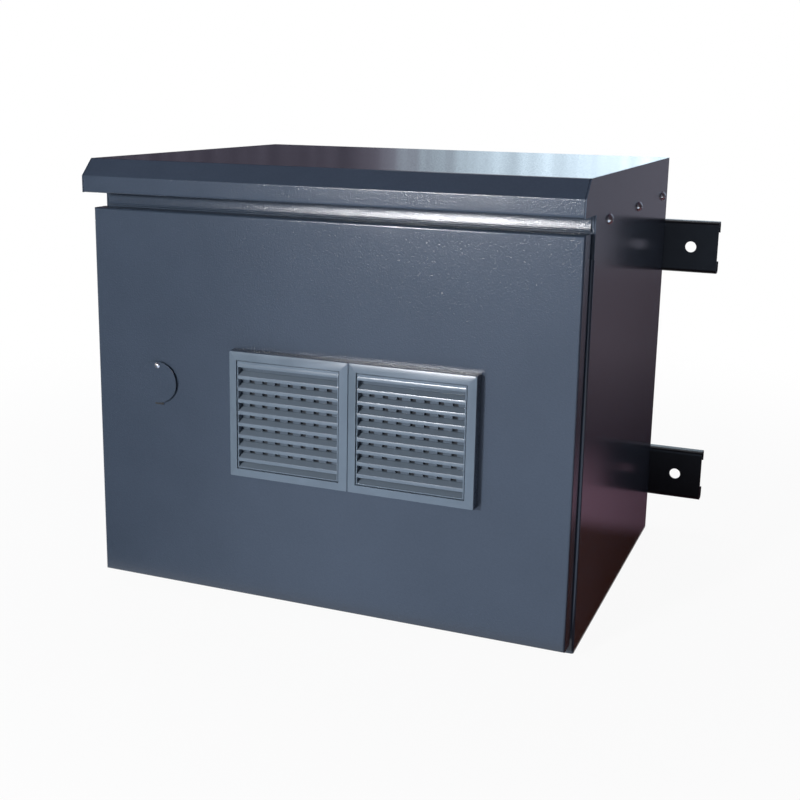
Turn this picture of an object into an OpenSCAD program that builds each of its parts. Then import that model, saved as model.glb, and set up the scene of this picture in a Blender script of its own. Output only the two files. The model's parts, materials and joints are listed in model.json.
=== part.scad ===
// Outdoor utility cabinet with a rain hood, a vented door and two wall rails.
// Millimetres. X runs to the right, Y to the back, Z up.
// The origin is the middle of the base, halfway between front flange and back.

/* [Cabinet body] */
// Width across the side panels
body_w = 600; // [580:5:700]
// Depth from the front flange to the back panel
body_d = 450; // [420:5:600]
// Height from the base to the roof
body_h = 530; // [500:5:700]
// Thickness of the sheet steel
sheet = 1.5; // [1.2:0.1:2]
// Outside radius of the folds
bend_r = 3; // [2.5:0.5:4]
// Gap at welded joints of the sheets
weld_gap = 0.1; // [0.05:0.05:0.2]
// Width of the front flange beside the door opening
flange_w = 50; // [46:1:56]
// Height of the upturned edges of the floor and ceiling pans
pan_edge = 25; // [15:1:30]

/* [Rain hood] */
// How far the lip stands in front of the door
hood_over = 17; // [10:1:30]
// Height of the upright lip
hood_lip = 19.5; // [12:0.5:30]
// Height and depth of the sloping front
hood_chamfer = 19.5; // [12:0.5:30]
// Depth of the turned-in lower edge of the lip
hood_return = 12; // [8:1:16]
// Height of the side flanges inside the side panels
hood_flange = 58; // [52:1:64]
// Seam between the hood and the side panels
hood_seam = 0.4; // [0.3:0.1:0.8]
// Height of the drip strip between door and lip
strip_h = 19; // [16:0.5:26]
// Radius of the drip rail's curve
drip_r = 44; // [30:1:50]
// Angle through which the drip rail curves forward
drip_angle = 14; // [8:1:16]
// Height of the drip rail's lower edge above the door
drip_clear = 2; // [1.8:0.1:2.5]
// Radius of the rolled bead along the drip rail
bead_r = 1.3; // [1:0.1:1.6]
// Distance of the drip rail's ends from the side panels
drip_inset = 3; // [1:0.5:8]

/* [Hood screws] */
// Distance of the first screw from the front flange
screw_first = 66; // [50:1:90]
// Distance of the last screw from the back panel
screw_last = 42; // [35:1:80]
// Height of the screws above the top of the door
screw_rise = 9; // [8:0.5:12]
// Radius of the screw shank
screw_r = 3; // [2.5:0.1:3.5]
// Radius of the screw head
screw_head_r = 6.4; // [5.5:0.1:7]
// Height of the screw head
screw_head_h = 5; // [4:0.1:5.5]
// Length of the screw under its head
screw_l = 14; // [11:0.5:18]
// Clearance round a fixing in its hole
hole_gap = 0.2; // [0.1:0.05:0.4]

/* [Wall rails] */
// Height of the rails
rail_h = 71; // [60:1:80]
// Depth of the rails
rail_d = 20; // [16:1:30]
// Thickness of the rail steel
rail_t = 2.5; // [2:0.1:3]
// Height of the lips
rail_lip = 15.5; // [10:0.5:18]
// Outside radius of the rail folds
rail_bend = 6; // [3.5:0.5:7]
// How far the rails reach past each side panel
rail_ear = 72; // [60:1:90]
// Radius of the wall fixing holes
rail_hole_r = 7.5; // [5:0.5:8]
// Height of the lower rail's middle above the base
rail_low_z = 85; // [70:1:110]
// Distance of the upper rail's middle below the roof
rail_drop = 120; // [100:1:150]
// Distance of the rail bolts from the middle
rail_bolt_x = 200; // [150:1:220]
// Radius of the rail bolts
rail_bolt_r = 4; // [3:0.5:4]
// Width across the flats of the bolt heads and nuts
rail_bolt_af = 13; // [12:0.5:14]

/* [Door] */
// Gap from the door's edge to the side panel's face
door_inset = 3; // [2:0.5:4]
// Height of the door's lower edge above the base
door_ground = 14; // [10:0.5:20]
// How far the door laps the opening at top and bottom
door_lap = 28; // [24:0.5:32]
// Depth of the folded door edge
door_return = 24; // [22:0.5:26]
// Gap between the folded edge and the front flange
door_gap = 8; // [7:0.5:10]
// Depth of the sealing rim
rim_d = 17; // [14:0.5:19]
// Width of the gasket
seal_w = 16; // [12:0.5:18]
// Gap between the gasket and the rim at rest
seal_gap = 0.2; // [0.1:0.05:0.3]
// Outside radius of the opening's corners
rim_r = 12; // [10:1:20]

/* [Hinges] */
// Distance of the hinge axis from the door's edge
hinge_inset = 8; // [7.5:0.1:9]
// Distance of the hinge axis behind the door's face
hinge_depth = 14; // [13.5:0.1:15]
// Distance of each hinge from the middle of the door
hinge_off = 150; // [120:1:170]
// Height of the hinge arm
arm_h = 30; // [24:1:40]
// Thickness of the hinge arm
arm_t = 3; // [2.5:0.1:3.5]
// Length of the arm's foot on the flange
arm_foot = 20; // [16:0.5:20]
// Clearance beside the arm's leg
arm_clear = 2; // [1:0.1:3]
// Radius of the hinge knuckle
knuckle_r = 5; // [4.5:0.1:5.5]
// Radius of the hinge pin
pin_r = 3; // [2.5:0.1:3.2]
// Running clearance of a pin or spindle, on the radius
run_gap = 0.05; // [0.02:0.01:0.08]
// Gap between the ears and the arm
ear_gap = 0.5; // [0.3:0.1:0.8]
// Thickness of the door leaf
leaf_t = 2.5; // [2:0.1:3]
// Length of the door leaf on the door
leaf_l = 24; // [18:0.5:26]

/* [Lock] */
// Distance of the lock from the door's free edge
lock_inset = 85.5; // [70:0.5:95]
// Height of the lock above the middle of the door
lock_up = 24.5; // [0:0.5:60]
// Radius of the lock housing
lock_r = 10; // [9:0.5:12]
// Radius of the housing's head
lock_head_r = 14; // [13:0.5:16]
// Thickness of the housing's head
lock_head_t = 1.8; // [1.5:0.1:2]
// Thickness of the fixing nut
lock_nut_t = 5; // [4:0.5:8]
// Radius of the spindle
spindle_r = 7; // [6:0.1:7.5]
// Width of the spindle's square end
spindle_sq = 8; // [7:0.1:8.4]
// Width across the three-sided key drive
key_r = 4.5; // [4:0.1:5]
// Depth of the key drive's well
key_well = 8; // [6:0.5:10]
// Gap between the cam and the flange
cam_gap = 1.3; // [1:0.1:2]
// Thickness of the cam
cam_t = 3; // [2.5:0.1:4]
// Width of the cam
cam_w = 16; // [14:0.5:18]
// How far the cam reaches behind the flange
cam_lap = 15; // [10:0.5:20]

/* [Lock cover] */
// Radius of the swing cover
cover_r = 25.2; // [24:0.2:30]
// Thickness of the swing cover
cover_t = 1.5; // [1.2:0.1:2]
// Gap between the cover and the lock's head
cover_gap = 0.6; // [0.4:0.1:1]
// Height of the rivet above the lock
rivet_up = 20.5; // [18:0.5:21]
// Radius of the rivet
rivet_r = 2; // [1.8:0.1:2.5]
// Radius of the rivet's head
rivet_head_r = 3.6; // [3.2:0.1:4.2]
// Height of the rivet's head
rivet_head_h = 1.8; // [1.4:0.1:2.2]
// Width of the rubber stop under the cover
stop_w = 12; // [8:0.5:16]
// Height of the rubber stop
stop_h = 3.2; // [2.5:0.1:4]
// Thickness of the rubber stop
stop_t = 1.4; // [1:0.1:1.8]

/* [Vents] */
// Outside width and height of one vent frame
vent_w = 150; // [145:1:160]
// Distance of the pair's middle to the right of the door's middle
vent_off = 42; // [0:1:60]
// Depth of the surround in front of the door
surround_d = 13; // [11:0.5:16]
// How much wider the surround is at the door than at the vents
surround_flare = 0.5; // [0.2:0.1:2]
// Gap between the two vent frames
vent_split = 1; // [0.5:0.1:2]
// Thickness of the vent frame's border
vent_t = 3; // [2.5:0.1:4]
// Wall of the vent frame's neck
neck_t = 2; // [1.6:0.1:2.4]
// Gap round the neck in the sheet
neck_gap = 0.5; // [0.3:0.1:0.8]
// Width and height of the louvre insert
louvre_w = 128.4; // [124:0.2:130]
// Gap round the louvre insert
louvre_gap = 0.7; // [0.5:0.1:1]
// Setback of the louvre insert in its frame
louvre_back = 0.6; // [0.3:0.1:1]
// Depth of the louvre insert
louvre_d = 12; // [11:0.5:14]
// Border of the louvre insert
louvre_rim = 1.6; // [1.6:0.1:2.4]
// Radius of the louvre insert's front edges
louvre_edge = 1.2; // [0.8:0.1:1.4]
// Height of the fascia over the first gap
louvre_head = 7.3; // [6:0.1:9]
// Height of the closed band behind the first gap
louvre_band = 13.2; // [10:0.1:14]
// Distance from one blade to the next
louvre_pitch = 14.05; // [12:0.05:16]
// Height of a blade's upright nose
nose_h = 4.2; // [3.5:0.1:5]
// Rise of a blade from its nose to its back edge
blade_rise = 4.6; // [3.5:0.1:5]
// Depth of a blade
blade_d = 9.4; // [8:0.1:9.4]
// Thickness of a blade
blade_t = 1.6; // [1.2:0.1:2]
// Number of upright ribs behind the blades
rib_count = 8; // [6:1:9]
// Width of a rib
rib_w = 10; // [5:0.5:10.5]
// Thickness of the filter mat
mat_t = 8; // [6:0.5:12]
// Gap between stacked vent pieces
stack_gap = 0.1; // [0.05:0.05:0.2]

/* [Fans] */
// Width and height of a fan
fan_w = 120; // [118:1:122]
// Depth of a fan
fan_d = 25.4; // [24:0.1:26]
// Corner radius of a fan
fan_corner = 5; // [4:0.5:8]
// Radius of the fan's throat
throat_r = 57; // [55:0.5:57.5]
// Distance between the fan's fixing holes
fan_hole_pitch = 105; // [104:0.5:106]
// Radius of the fan screws
fan_screw_r = 2; // [1.8:0.1:2.2]
// Gap between the blades' tips and the throat
tip_gap = 1.5; // [1:0.1:2]
// Radius of the impeller's hub
hub_r = 19; // [17:0.5:22]
// Number of fan blades
fan_blades = 7; // [5:1:9]
// Pitch angle of the fan blades
blade_pitch = 38; // [30:1:45]
// Radius of the fan's shaft
shaft_r = 2; // [1.8:0.1:2.5]
// Thickness of the motor carrier and its spokes
spoke_t = 4; // [3:0.5:5]

/* [Rack and base] */
// Distance of the rack's front plane behind the front flange
rack_setback = 40; // [35:1:60]
// Distance from the rack posts to the side panels
rack_side = 53.95; // [45:0.05:60]
// Width of the rack posts
post_w = 24; // [22:0.5:26]
// Depth of the rack posts
post_d = 40; // [30:1:50]
// Thickness of the posts and depth rails
post_t = 2; // [1.5:0.1:2.5]
// Radius of the rack holes
rack_hole_r = 3.3; // [3:0.1:3.5]
// Height of the depth rails
depth_rail_h = 30; // [24:1:36]
// Distance of the depth rails from the ends of the posts
depth_rail_in = 20; // [10:1:40]
// Distance from the depth rails to the back panel
depth_rail_back = 20; // [15:1:60]
// Radius of the rack bolts
rack_bolt_r = 3; // [2.5:0.1:3.2]
// Width of the cable opening
gland_w = 300; // [260:5:340]
// Depth of the cable opening
gland_d = 90; // [80:2:110]
// Distance of the cable opening from the back panel
gland_back = 60; // [50:1:80]
// How far the gland plate laps the opening
gland_lap = 15; // [14:0.5:20]
// Thickness of the gland plate
gland_t = 2; // [1.5:0.1:3]
// Number of cable grommets
grommet_count = 4; // [3:1:4]
// Radius of the holes in the gland plate
grommet_r = 18; // [15:0.5:20]
// Radius of the cable holes in the grommets
cable_r = 10; // [6:0.5:11]
// Width of the grommet's lip
grommet_lip = 3; // [2.5:0.5:4]
// Radius of the earth stud
stud_r = 4; // [3:0.5:5]
// Length of the earth stud
stud_l = 30; // [25:1:40]

/* [Hidden] */
$fn = 48;

// Colours, as the finished pieces look
paint = [0.29, 0.34, 0.40];
black_paint = [0.06, 0.06, 0.07];
vent_plastic = [0.46, 0.54, 0.62];
bright_steel = [0.75, 0.76, 0.77];
dark_rubber = [0.10, 0.10, 0.10];
dark_plastic = [0.13, 0.13, 0.14];
mat_grey = [0.20, 0.21, 0.22];

// Overlap of joined shapes and run-out of cuts
join = 1;

// Planes along Y
front_y = -body_d / 2;
back_y = body_d / 2;
door_back_y = front_y - door_gap;
door_y = door_back_y - door_return;
door_in_y = door_y + sheet;
hood_y = door_y - hood_over;
rim_y = front_y - rim_d;
flange_in_y = front_y + sheet;

// Heights
sill_z = door_ground + door_lap;
lip_z = body_h - hood_chamfer - hood_lip;
door_top_z = lip_z - strip_h;
opening_top_z = door_top_z - door_lap;
opening_h = opening_top_z - sill_z;
opening_w = body_w - 2 * flange_w;
opening_mid_z = (sill_z + opening_top_z) / 2;
door_w = body_w - 2 * door_inset;
door_h = door_top_z - door_ground;
door_mid_z = (door_ground + door_top_z) / 2;
ceiling_z = lip_z + hood_return / 2;
side_in = body_w / 2 - sheet;
panel_half = side_in - weld_gap;
hood_half = side_in - hood_seam;
hood_in = hood_half - sheet;

// Hood screws
screw_z = door_top_z + screw_rise;
screw_pitch = (body_d - screw_first - screw_last) / 2;
screw_ys = [for (i = [0:2]) front_y + screw_first + i * screw_pitch];
nut_t = screw_r * 1.6;
nut_r = screw_r * 1.85;

// Rails
rail_zs = [rail_low_z, body_h - rail_drop];
rail_l = body_w + 2 * rail_ear;
rail_hole_x = body_w / 2 + rail_ear / 2;
rail_nut_t = rail_bolt_r * 1.6;
rail_head_t = rail_bolt_r * 1.3;

// Hinges
hinge_x = door_w / 2 - hinge_inset;
hinge_y = door_y + hinge_depth;
leg_x = (opening_w + sheet + seal_w) / 2 + arm_clear;
ear_t = leaf_t;
leaf_h = arm_h + 2 * (ear_gap + ear_t);
pin_end = 2;
pin_head_t = 2;
hinge_zs = [door_mid_z - hinge_off, door_mid_z + hinge_off];
seal_t = rim_y - seal_gap - door_in_y;

// Lock
lock_x = -door_w / 2 + lock_inset;
lock_z = door_mid_z + lock_up;
cam_y = flange_in_y + cam_gap;
barrel_end_y = cam_y - sheet;
cam_l = opening_w / 2 + lock_x + cam_lap;
cam_screw_r = spindle_sq * 0.3;
cam_head_t = 3;
square_gap = 0.1;
cover_back_y = door_y - lock_head_t - cover_gap;
cover_y = cover_back_y - cover_t;
rivet_z = lock_z + rivet_up;
rivet_collar_r = rivet_r + 1.5;

// Vents
vent_xs = [vent_off - vent_w / 2, vent_off + vent_w / 2];
surround_y = door_y - surround_d;
vent_y = surround_y - vent_t;
frame_hole = louvre_w + 2 * louvre_gap;
neck_w = frame_hole + 2 * neck_t;
neck_cut = neck_w + 2 * neck_gap;
mat_y = vent_y + louvre_back + louvre_d + stack_gap;
plate_y = mat_y + mat_t + stack_gap;
fan_y = plate_y + neck_t + stack_gap;
fan_back_y = fan_y + fan_d;
mat_w = frame_hole - 2 * louvre_gap;
blade_count = floor((louvre_w - louvre_head - louvre_rim) / louvre_pitch);
rib_step = (louvre_w + rib_w / 4) / rib_count;
vent_corner = 1.5;
fan_screw_head_r = fan_screw_r * 2;
fan_screw_head_t = fan_screw_r * 1.2;
carrier_r = hub_r + 1;
fan_clear = 1;

// Rack and base; the unit is that of 19-inch equipment
rack_unit = 44.45;
rack_y = front_y + rack_setback;
rack_units = floor(opening_h / rack_unit);
post_h = rack_units * rack_unit;
post_z = opening_mid_z - post_h / 2;
post_out = side_in - rack_side;
rack_pitch = 2 * post_out - post_w;
unit_holes = [1 / 7, 6 / 7];
depth_rail_zs = [post_z + depth_rail_in, post_z + post_h - depth_rail_in - depth_rail_h];
depth_rail_l = back_y - sheet - depth_rail_back - rack_y - post_t;
rack_bolt_y = rack_y + post_d / 2;
gland_y = back_y - gland_back - gland_d / 2;
grommet_step = gland_w / grommet_count;
grommet_hole_r = grommet_r - grommet_lip;
grommet_foot = 0.5;
gland_screw_r = 2;
gland_screw_xs = [for (s = [-1, 1]) s * (gland_w + gland_lap) / 2];
gland_screw_ys = [for (s = [-1, 1]) gland_y + s * (gland_d + gland_lap) / 2];
stud_x = -body_w / 3;
stud_y = front_y + body_d / 4;
stud_nut_z = sheet + stud_l / 2;
stud_nut_t = stud_r * 1.6;

// Flat rectangle with round corners about the origin
module round_rect(w, h, r) {
    square([w - 2 * r, h], center = true);
    square([w, h - 2 * r], center = true);
    for (sx = [-1, 1], sy = [-1, 1])
        translate([sx * (w / 2 - r), sy * (h / 2 - r)]) circle(r);
}

// Flat rectangle from y = 0 to d, round at its two front corners
module front_round(w, d, r) {
    translate([-w / 2, r]) square([w, d - r]);
    translate([-w / 2 + r, 0]) square([w - 2 * r, d]);
    for (s = [-1, 1]) translate([s * (w / 2 - r), r]) circle(r);
}

// Block from y = 0 to d, with its four front edges round
module front_round_block(w, h, d, r) {
    intersection() {
        linear_extrude(h, center = true) front_round(w, d, r);
        rotate([0, 90, 0]) linear_extrude(w, center = true) front_round(h, d, r);
    }
}

// Stands a flat shape upright, facing the front, from y to y + t
module upright(y, t) {
    translate([0, y + t, 0]) rotate([90, 0, 0]) linear_extrude(t) children();
}

// Runs a shape drawn as (Y, Z) along X, about the middle
module along_x(l) {
    rotate([90, 0, 90]) linear_extrude(l, center = true) children();
}

// Round bar along Y from y to y + l
module bar_y(x, y, z, r, l) {
    translate([x, y, z]) rotate([-90, 0, 0]) cylinder(r = r, h = l);
}

// Round bar along X from x to x + l
module bar_x(x, y, z, r, l) {
    translate([x, y, z]) rotate([0, 90, 0]) cylinder(r = r, h = l);
}

// Six-sided bar along Y, sized across its flats
module hex_y(x, y, z, af, l) {
    translate([x, y, z]) rotate([-90, 0, 0]) cylinder(r = af / sqrt(3), h = l, $fn = 6);
}

// Points of an arc about c
function arc(c, r, a0, a1, n = 6) =
    [for (i = [0:n]) c + r * [cos(a0 + (a1 - a0) * i / n), sin(a0 + (a1 - a0) * i / n)]];

// Walls of the folded body, seen from above
module wall_ring() {
    difference() {
        round_rect(body_w, body_d, bend_r);
        round_rect(body_w - 2 * sheet, body_d - 2 * sheet, bend_r - sheet);
    }
}

// Side panel above the opening, with the ear that closes the hood's end
module cheek_outline() {
    polygon([
        [front_y + 2 * bend_r, opening_top_z], [front_y, opening_top_z], [front_y, lip_z],
        [hood_y, lip_z], [hood_y, body_h - hood_chamfer], [hood_y + hood_chamfer, body_h],
        [front_y + 2 * bend_r, body_h]]);
}

// Side panels and back, folded from one sheet
module body_wrap() {
    color(paint) difference() {
        union() {
            linear_extrude(opening_top_z) difference() {
                wall_ring();
                translate([-opening_w / 2, front_y - join]) square([opening_w, bend_r + join]);
            }
            translate([0, 0, opening_top_z]) linear_extrude(body_h - opening_top_z) difference() {
                wall_ring();
                translate([-body_w / 2, front_y - join]) square([body_w, bend_r + join]);
            }
            for (s = [-1, 1])
                translate([s * (side_in + sheet / 2), 0, 0]) along_x(sheet) cheek_outline();
        }
        for (y = screw_ys)
            bar_x(-body_w / 2 - join, y, screw_z, screw_r + hole_gap, body_w + 2 * join);
        for (x = [-rail_bolt_x, rail_bolt_x], z = rail_zs)
            bar_y(x, back_y - sheet - join, z, rail_bolt_r + hole_gap, sheet + 2 * join);
    }
}

// Bottom sheet with its sill, upturned edges and cable opening
module floor_pan() {
    pan_w = 2 * panel_half;
    pan_d = body_d - 2 * (sheet + weld_gap);
    color(paint) difference() {
        union() {
            linear_extrude(sheet) round_rect(pan_w, pan_d, bend_r);
            translate([-opening_w / 2 + weld_gap, front_y, 0])
                cube([opening_w - 2 * weld_gap, 2 * bend_r, sheet]);
            translate([-opening_w / 2 + weld_gap, front_y, 0])
                cube([opening_w - 2 * weld_gap, sheet, sill_z]);
            for (s = [-1, 1])
                translate([s * (panel_half - sheet / 2) - sheet / 2, -pan_d / 2 + pan_edge, 0])
                    cube([sheet, pan_d - 2 * pan_edge, pan_edge]);
            translate([-pan_w / 2 + pan_edge, pan_d / 2 - sheet, 0])
                cube([pan_w - 2 * pan_edge, sheet, pan_edge]);
        }
        translate([-gland_w / 2, gland_y - gland_d / 2, -join])
            cube([gland_w, gland_d, sheet + 2 * join]);
        for (x = gland_screw_xs, y = gland_screw_ys)
            translate([x, y, -join]) cylinder(r = gland_screw_r + hole_gap, h = sheet + 2 * join);
    }
}

// Inner roof with its front lintel and rear edge
module ceiling_pan() {
    tray_half = hood_in - weld_gap;
    tray_back_y = back_y - sheet - weld_gap;
    color(paint) {
        translate([-panel_half, front_y, opening_top_z + weld_gap])
            cube([2 * panel_half, sheet, ceiling_z - opening_top_z - weld_gap]);
        translate([-tray_half, front_y, ceiling_z - sheet])
            cube([2 * tray_half, tray_back_y - front_y, sheet]);
        translate([-tray_half, tray_back_y - sheet, ceiling_z - pan_edge])
            cube([2 * tray_half, sheet, pan_edge]);
    }
}

// Strip that throws water clear of the door's top, with a rolled bead
module drip_rail() {
    leg_y = front_y - weld_gap - sheet;
    arc_z = door_top_z + drip_clear + (drip_r + sheet) * sin(drip_angle);
    far = 2 * (drip_r + sheet);
    color(paint) along_x(2 * (panel_half - drip_inset)) {
        translate([leg_y, arc_z]) square([sheet, lip_z - arc_z]);
        translate([leg_y - drip_r, arc_z]) {
            intersection() {
                difference() {
                    circle(drip_r + sheet);
                    circle(drip_r);
                }
                polygon([[0, 0], [far, 0], [far, -far], far * [cos(drip_angle), -sin(drip_angle)]]);
            }
            rotate(-drip_angle) translate([drip_r + sheet / 2, 0]) circle(bead_r);
        }
    }
}

// Upstand round the door opening that the gasket closes on
module sealing_rim() {
    color(paint) translate([0, 0, opening_mid_z])
        upright(rim_y, rim_d - weld_gap) difference() {
            round_rect(opening_w + 2 * sheet, opening_h + 2 * sheet, rim_r + sheet);
            round_rect(opening_w, opening_h, rim_r);
        }
}

// Section of the hood: roof, sloping front, lip and turned-in edge
module hood_section() {
    slope = 45;
    fold = tan(slope / 2);
    inner_r = bend_r - sheet;
    roof_c = [hood_y + hood_chamfer + bend_r * fold, body_h - bend_r];
    lip_c = [hood_y + bend_r, body_h - hood_chamfer - bend_r * fold];
    foot_c = [hood_y + bend_r, lip_z + bend_r];
    roof_end = back_y - sheet - weld_gap;
    polygon(concat(
        [[roof_end, body_h - sheet], [roof_end, body_h]],
        arc(roof_c, bend_r, 90, 90 + slope),
        arc(lip_c, bend_r, 90 + slope, 180),
        arc(foot_c, bend_r, 180, 270),
        [[hood_y + hood_return, lip_z], [hood_y + hood_return, lip_z + sheet]],
        arc(foot_c, inner_r, 270, 180),
        arc(lip_c, inner_r, 180, 90 + slope),
        arc(roof_c, inner_r, 90 + slope, 90)));
}

// Hood folded from one sheet, with the side flanges that the screws hold
module rain_hood() {
    flange_front = front_y + sheet + 2 * bend_r;
    flange_l = back_y - bend_r - sheet - flange_front;
    color(paint) difference() {
        union() {
            along_x(2 * hood_half) hood_section();
            for (s = [-1, 1])
                translate([s * (hood_half - sheet / 2) - sheet / 2, flange_front, body_h - hood_flange])
                    cube([sheet, flange_l, hood_flange - sheet / 2]);
        }
        for (y = screw_ys)
            bar_x(-body_w / 2, y, screw_z, screw_r + hole_gap, body_w);
    }
}

// Domed head along +X from x = 0
module dome_x(r, h) {
    ball_r = (r * r + h * h) / (2 * h);
    rotate([0, 90, 0]) rotate_extrude() intersection() {
        square([r, h]);
        translate([0, h - ball_r]) circle(ball_r);
    }
}

// Cross-recess pan-head screw, its head's seat at x = 0 and its shank along -X
module pan_screw() {
    slot_w = screw_head_r / 4;
    slot_l = screw_head_r * 1.1;
    slot_d = screw_head_h * 0.55;
    difference() {
        union() {
            dome_x(screw_head_r, screw_head_h);
            bar_x(-screw_l, 0, 0, screw_r, screw_l + join);
        }
        translate([screw_head_h - slot_d, -slot_l / 2, -slot_w / 2]) cube([screw_head_h, slot_l, slot_w]);
        translate([screw_head_h - slot_d, -slot_w / 2, -slot_l / 2]) cube([screw_head_h, slot_w, slot_l]);
    }
}

module hood_screws() {
    color(bright_steel)
        for (s = [0, 1], y = screw_ys)
            mirror([s, 0, 0]) translate([body_w / 2, y, screw_z]) pan_screw();
}

module hood_nuts() {
    color(bright_steel)
        for (s = [0, 1], y = screw_ys)
            mirror([s, 0, 0]) translate([hood_in - nut_t, y, screw_z]) rotate([0, 90, 0]) difference() {
                cylinder(r = nut_r, h = nut_t, $fn = 6);
                translate([0, 0, -join]) cylinder(r = screw_r + run_gap, h = nut_t + 2 * join);
            }
}

// Lipped channel across the back, its web against the back panel
module wall_rail(z) {
    color(black_paint) difference() {
        along_x(rail_l) translate([back_y + rail_d / 2, z]) difference() {
            round_rect(rail_d, rail_h, rail_bend);
            round_rect(rail_d - 2 * rail_t, rail_h - 2 * rail_t, rail_bend - rail_t);
            translate([0, -rail_h / 2 + rail_lip]) square([rail_d, rail_h - 2 * rail_lip]);
        }
        for (x = [-rail_hole_x, rail_hole_x])
            bar_y(x, back_y - join, z, rail_hole_r, rail_t + 2 * join);
        for (x = [-rail_bolt_x, rail_bolt_x])
            bar_y(x, back_y - join, z, rail_bolt_r + hole_gap, rail_t + 2 * join);
    }
}

module lower_wall_rail() wall_rail(rail_zs[0]);

module upper_wall_rail() wall_rail(rail_zs[1]);

module rail_bolts() {
    color(bright_steel)
        for (x = [-rail_bolt_x, rail_bolt_x], z = rail_zs) {
            hex_y(x, back_y - sheet - rail_head_t, z, rail_bolt_af, rail_head_t);
            bar_y(x, back_y - sheet - join, z, rail_bolt_r, sheet + rail_t + rail_nut_t + 2 * join);
        }
}

module rail_nuts() {
    color(bright_steel)
        for (x = [-rail_bolt_x, rail_bolt_x], z = rail_zs)
            difference() {
                hex_y(x, back_y + rail_t, z, rail_bolt_af, rail_nut_t);
                bar_y(x, back_y, z, rail_bolt_r + run_gap, rail_t + rail_nut_t + join);
            }
}

// Gooseneck from the front flange to the hinge knuckle
module hinge_arm(z) {
    bar_front = hinge_y - knuckle_r;
    color(bright_steel) translate([0, 0, z - arm_h / 2]) linear_extrude(arm_h) difference() {
        union() {
            translate([leg_x, front_y - arm_t]) square([arm_foot, arm_t]);
            translate([leg_x, bar_front]) square([arm_t, front_y - bar_front]);
            translate([leg_x, bar_front]) square([hinge_x - leg_x, arm_t]);
            translate([hinge_x, hinge_y]) circle(knuckle_r);
        }
        translate([hinge_x, hinge_y]) circle(pin_r + run_gap);
    }
}

module lower_hinge_arm() hinge_arm(hinge_zs[0]);

module upper_hinge_arm() hinge_arm(hinge_zs[1]);

// Bracket on the door, with an ear above and below the arm
module hinge_leaf(z) {
    color(bright_steel) translate([0, 0, z - leaf_h / 2]) {
        translate([hinge_x + knuckle_r - leaf_l, door_in_y, 0]) cube([leaf_l, leaf_t, leaf_h]);
        for (ear_z = [0, leaf_h - ear_t])
            translate([0, 0, ear_z]) linear_extrude(ear_t) difference() {
                union() {
                    translate([hinge_x - knuckle_r, door_in_y])
                        square([2 * knuckle_r, hinge_y - door_in_y]);
                    translate([hinge_x, hinge_y]) circle(knuckle_r);
                }
                translate([hinge_x, hinge_y]) circle(pin_r + run_gap);
            }
    }
}

module lower_hinge_leaf() hinge_leaf(hinge_zs[0]);

module upper_hinge_leaf() hinge_leaf(hinge_zs[1]);

module hinge_pins() {
    color(bright_steel)
        for (z = hinge_zs) translate([hinge_x, hinge_y, z - leaf_h / 2 - pin_end]) {
            cylinder(r = pin_r, h = leaf_h + pin_end + pin_head_t);
            translate([0, 0, leaf_h + pin_end]) cylinder(r = knuckle_r, h = pin_head_t);
        }
}

// Angle with holes for 19-inch equipment, drawn for the right side
module rack_post() {
    color(bright_steel) difference() {
        union() {
            translate([post_out - post_w, rack_y, post_z]) cube([post_w, post_t, post_h]);
            translate([post_out - post_t, rack_y, post_z]) cube([post_t, post_d, post_h]);
        }
        for (u = [0:rack_units - 1], h = unit_holes)
            bar_y(rack_pitch / 2, rack_y - join, post_z + (u + h) * rack_unit, rack_hole_r,
                  post_t + 2 * join);
        for (z = depth_rail_zs)
            bar_x(post_out - post_t - join, rack_bolt_y, z + depth_rail_h / 2, rack_bolt_r + hole_gap,
                  post_t + 2 * join);
    }
}

module left_rack_post() mirror([1, 0, 0]) rack_post();

module right_rack_post() rack_post();

// Channels on the side panels that carry the posts
module depth_rails() {
    web_x = post_out + weld_gap;
    flange_l = panel_half - web_x;
    color(bright_steel)
        for (s = [0, 1], z = depth_rail_zs) mirror([s, 0, 0]) difference() {
            translate([web_x, rack_y + post_t, z]) cube([flange_l, depth_rail_l, depth_rail_h]);
            translate([web_x + post_t, rack_y, z + post_t])
                cube([flange_l, depth_rail_l + 2 * post_t, depth_rail_h - 2 * post_t]);
            bar_x(web_x - join, rack_bolt_y, z + depth_rail_h / 2, rack_bolt_r + hole_gap,
                  post_t + 2 * join);
        }
}

module rack_bolts() {
    head_t = rack_bolt_r * 1.2;
    color(bright_steel)
        for (s = [0, 1], z = depth_rail_zs) mirror([s, 0, 0])
            translate([post_out - post_t, rack_bolt_y, z + depth_rail_h / 2]) {
                bar_x(-head_t, 0, 0, 2 * rack_bolt_r, head_t);
                bar_x(-join, 0, 0, rack_bolt_r, 3 * post_t + join);
            }
}

// Plate over the cable opening
module gland_plate() {
    color(bright_steel) translate([0, 0, sheet]) linear_extrude(gland_t) difference() {
        translate([0, gland_y]) round_rect(gland_w + 2 * gland_lap, gland_d + 2 * gland_lap, bend_r);
        for (i = [0:grommet_count - 1])
            translate([(i - (grommet_count - 1) / 2) * grommet_step, gland_y]) circle(grommet_r);
        for (x = gland_screw_xs, y = gland_screw_ys)
            translate([x, y]) circle(gland_screw_r + hole_gap);
    }
}

// Grooved rubber rings in the gland plate
module cable_grommets() {
    low = grommet_foot;
    groove = sheet;
    top = sheet + gland_t;
    color(dark_rubber)
        for (i = [0:grommet_count - 1])
            translate([(i - (grommet_count - 1) / 2) * grommet_step, gland_y, 0]) rotate_extrude() {
                translate([cable_r, low]) square([grommet_r - weld_gap - cable_r, top + grommet_lip - low]);
                translate([cable_r, top]) square([grommet_r + grommet_lip - cable_r, grommet_lip]);
                translate([cable_r, low]) square([grommet_r + grommet_lip - cable_r, groove - low]);
            }
}

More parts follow.
